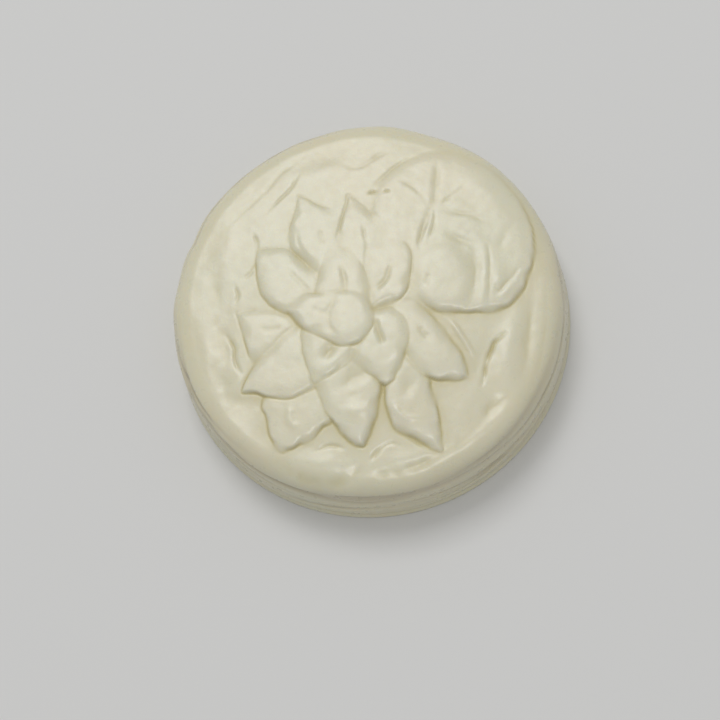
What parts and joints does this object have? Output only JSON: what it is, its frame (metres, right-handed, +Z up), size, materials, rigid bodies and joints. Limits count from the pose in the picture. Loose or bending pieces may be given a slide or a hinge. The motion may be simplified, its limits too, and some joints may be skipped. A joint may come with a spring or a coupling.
{
  "type": "shaving soap puck",
  "caption": "Round domed puck of solid shaving soap with a drafted wall, a round shoulder and a water lily moulded in low relief on its face.",
  "frame": {"origin": "middle of the flat base that the puck rests on", "axes": "+Z up through the domed face; +Y towards the upper petals of the moulded flower, with its floating leaf on the +X side"},
  "size_m": [0.076, 0.076, 0.0175],
  "materials": {
    "soap": "ivory moulded soap with a soft waxy sheen"
  },
  "bodies": {
    "root": {"soap_puck": "soap"}
  },
  "joints": []
}
